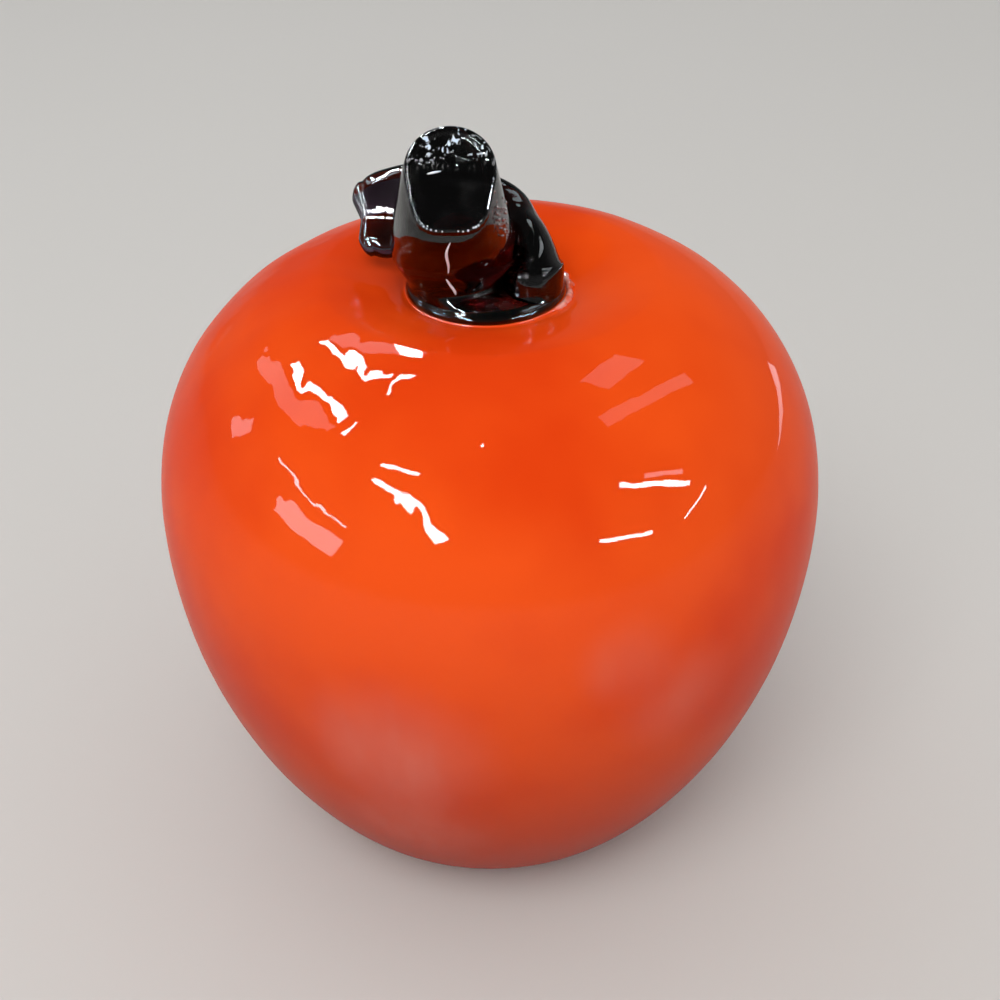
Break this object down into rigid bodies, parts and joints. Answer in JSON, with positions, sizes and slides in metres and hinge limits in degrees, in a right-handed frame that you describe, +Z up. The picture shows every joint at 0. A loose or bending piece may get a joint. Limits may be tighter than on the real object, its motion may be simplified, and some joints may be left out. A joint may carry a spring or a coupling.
{
  "type": "art glass apple",
  "caption": "Hollow cased glass apple with a round shoulder, a leaning sheared stem on a spread foot and a short drooping leaf, standing on a ground base ring.",
  "frame": {"origin": "centre of the base ring, on the surface that the apple stands on", "axes": "+Z up along the body's axis towards the stem; the stem's sheared end faces -Y and the leaf droops towards -X"},
  "size_m": [0.092, 0.092, 0.1093],
  "materials": {
    "opal_glass": "opaque white opal glass",
    "orange_glass": "dense orange-red glass",
    "casing_glass": "clear fire-polished glass over the orange layer",
    "amethyst_glass": "dark amethyst fire-polished glass"
  },
  "bodies": {
    "root": {"opal_lining": "opal_glass", "orange_layer": "orange_glass", "clear_casing": "casing_glass", "stem": "amethyst_glass", "leaf": "amethyst_glass"}
  },
  "joints": []
}
